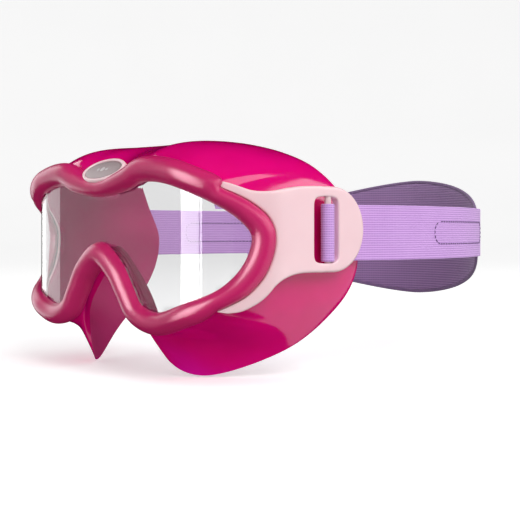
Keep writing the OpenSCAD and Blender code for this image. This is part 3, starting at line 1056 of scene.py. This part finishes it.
def stitch_rows(word, side):
    """A long oval of separate stitches on both faces of the sewn layers."""
    first = seams[word] + oval_from
    cuts = 60
    angles = [first + oval_sweep * i / cuts for i in range(cuts + 1)]
    far = lengths(span(first, first + oval_sweep, 0, cuts))
    line = stitch_line(far[-1])
    per_stitch = len(stitch_radius)
    parts = []
    # one row on the outer face and one on the inner; inset grows inwards, so inwards is +1
    for inset, facing in ((-stitch_proud, -1), (inner_inset + web_thick / 2 + stitch_proud, 1)):
        for start in range(0, len(line) - per_stitch, per_stitch):
            rings = []
            for j, (radius, dip) in enumerate(zip(stitch_radius, stitch_dip)):
                p = line[start + j]
                q = line[(start + j + 1) % len(line)] - p
                q = q / np.linalg.norm(q)
                ring = []
                for a in circle(8):
                    at = p + np.array([-q[1], q[0]]) * radius * math.cos(a)
                    deep = radius * math.sin(a) * 0.8 - facing * dip
                    spot = on_loop(float(np.interp(at[0], far, angles)), inset + deep)
                    ring.append(np.array([side * spot[0], spot[1], web_middle + at[1]]))
                rings.append(ring)
            parts.append(swept(rings, False))
    return join_parts(parts)


for word, side in (("left", 1), ("right", -1)):
    stitches = finish_mesh(word + "_stitches", *stitch_rows(word, side), mat_thread, sharp=80)
    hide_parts(word + "_stitching")
    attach(stitches, "strap")

# ---------------------------------------------------------------- pins keep their CAD shape
for word in ("left", "right"):
    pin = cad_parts[word + "_pin"]
    if not pin.data.materials:
        pin.data.materials.append(mat_pin.mat)
    for pin_slot in pin.material_slots:
        pin_slot.link = "OBJECT"
        pin_slot.material = mat_pin.mat


# ---------------------------------------------------------------- floor, light
def stage_mesh(name, verts, faces, material):
    """A piece of the studio, which isn't part of the object."""
    mesh = bpy.data.meshes.new(name)
    mesh.from_pydata(verts, [], faces)
    mesh.shade_smooth()
    mesh.materials.append(material)
    piece = bpy.data.objects.new(name, mesh)
    bpy.context.scene.collection.objects.link(piece)
    return piece


floor_mat = Nodes("floor_paint")
floor_mat.set(
    Base_Color=floor_mat.mix(floor_mat.noise(6, 2.0), (0.93, 0.93, 0.93, 1), (0.9, 0.9, 0.9, 1)),
    Roughness=floor_mat.ramp(floor_mat.noise(40, 2.0), 0.75, 0.9, 0.3, 0.7),
    Specular_IOR_Level=0.1,
    Emission_Color=(1, 1, 1, 1),
    Emission_Strength=0.36,
)
floor_z = cad_box[0].z - 0.0005
floor_middle_y = 0.05
floor_sides = 96
# radius and height: a flat floor that curves up into a wall
floor_profile = [(0.0001, 0.0), (0.5, 0.0), (1.6, 0.0), (2.1, 0.02), (2.5, 0.12), (2.8, 0.35),
                 (2.95, 0.7), (3.0, 1.2)]
floor_verts = [
    (r * math.cos(a), floor_middle_y + r * math.sin(a), floor_z + h)
    for r, h in floor_profile for a in circle(floor_sides)
]
floor_faces = []
for low in range(0, (len(floor_profile) - 1) * floor_sides, floor_sides):
    for i in range(floor_sides):
        j = (i + 1) % floor_sides
        floor_faces.append((low + i, low + j, low + floor_sides + j, low + floor_sides + i))
floor = stage_mesh("studio_floor", floor_verts, floor_faces, floor_mat.mat)
floor.visible_glossy = False
floor.visible_diffuse = False

world = bpy.data.worlds.new("studio")
bpy.context.scene.world = world
world.use_nodes = True
sky = world.node_tree
direction = sky.nodes.new("ShaderNodeTexCoord")
parts_of = sky.nodes.new("ShaderNodeSeparateXYZ")
fade = sky.nodes.new("ShaderNodeMapRange")
fade.inputs["From Min"].default_value, fade.inputs["From Max"].default_value = -0.5, 0.6
fade.inputs["To Min"].default_value, fade.inputs["To Max"].default_value = 0.55, 0.6
sky.links.new(direction.outputs["Generated"], parts_of.inputs["Vector"])
sky.links.new(parts_of.outputs["Z"], fade.inputs["Value"])
sky.links.new(fade.outputs["Result"], sky.nodes["Background"].inputs["Strength"])
sky.nodes["Background"].inputs["Color"].default_value = (1, 1, 1, 1)
world.cycles_visibility.glossy = False


def area_light(name, azimuth, elevation, distance, width, height, power):
    """A soft light that gloss doesn't show, facing the middle of the frame."""
    data = bpy.data.lights.new(name, "AREA")
    data.shape = "RECTANGLE"
    data.size, data.size_y = width, height
    data.energy = power
    lamp = bpy.data.objects.new(name, data)
    bpy.context.scene.collection.objects.link(lamp)
    a, e = math.radians(azimuth), math.radians(elevation)
    away = Vector((math.cos(a) * math.cos(e), math.sin(a) * math.cos(e), math.sin(e)))
    lamp.location = away * distance
    lamp.visible_glossy = False
    lamp.rotation_euler = away.to_track_quat("Z", "Y").to_euler()


# azimuth, elevation, distance, width, height, power
area_light("key", -10, 34, 1.5, 1.0, 0.8, 11.5)
area_light("fill", 60, 30, 1.6, 0.8, 0.8, 1)
area_light("top", 20, 80, 1.4, 1.2, 1.2, 3)


def card(name, from_azimuth, to_azimuth, low, high, distance, strength):
    """A bright card that only gloss sees: azimuths about the lens's left corner, heights in metres."""
    paint = bpy.data.materials.new(name)
    paint.use_nodes = True
    tree = paint.node_tree
    tree.nodes.clear()
    glow = tree.nodes.new("ShaderNodeEmission")
    glow.inputs["Strength"].default_value = strength
    end = tree.nodes.new("ShaderNodeOutputMaterial")
    tree.links.new(glow.outputs[0], end.inputs[0])
    corner_x, corner_y = 0.055, -0.037
    verts, faces = [], []
    count = 8
    for i in range(count + 1):
        a = math.radians(from_azimuth + (to_azimuth - from_azimuth) * i / count)
        for h in (low, high):
            verts.append((corner_x + distance * math.cos(a), corner_y + distance * math.sin(a), h))
    for i in range(count):
        faces.append((2 * i, 2 * i + 1, 2 * i + 3, 2 * i + 2))
    piece = stage_mesh(name, verts, faces, paint)
    piece.visible_camera = False
    piece.visible_diffuse = False
    piece.visible_transmission = False
    piece.visible_shadow = False


# from and to azimuth, lowest and highest point, distance, strength
card("card_front", -117, -77.8, -0.5, 1.0, 1.25, 12.0)
card("card_strip", -75.6, -71.2, -0.5, 1.0, 1.25, 12.0)
card("card_side", -157.5, -186, -0.4, 1.0, 1.25, 2.6)
card("card_wide", -30, -160, -0.6, 1.0, 1.45, 0.4)
card("card_right_high", 4, 70, 0.25, 1.1, 1.25, 3.0)
card("card_right_low", 9, 70, -1.6, 0.2, 1.25, 1.2)
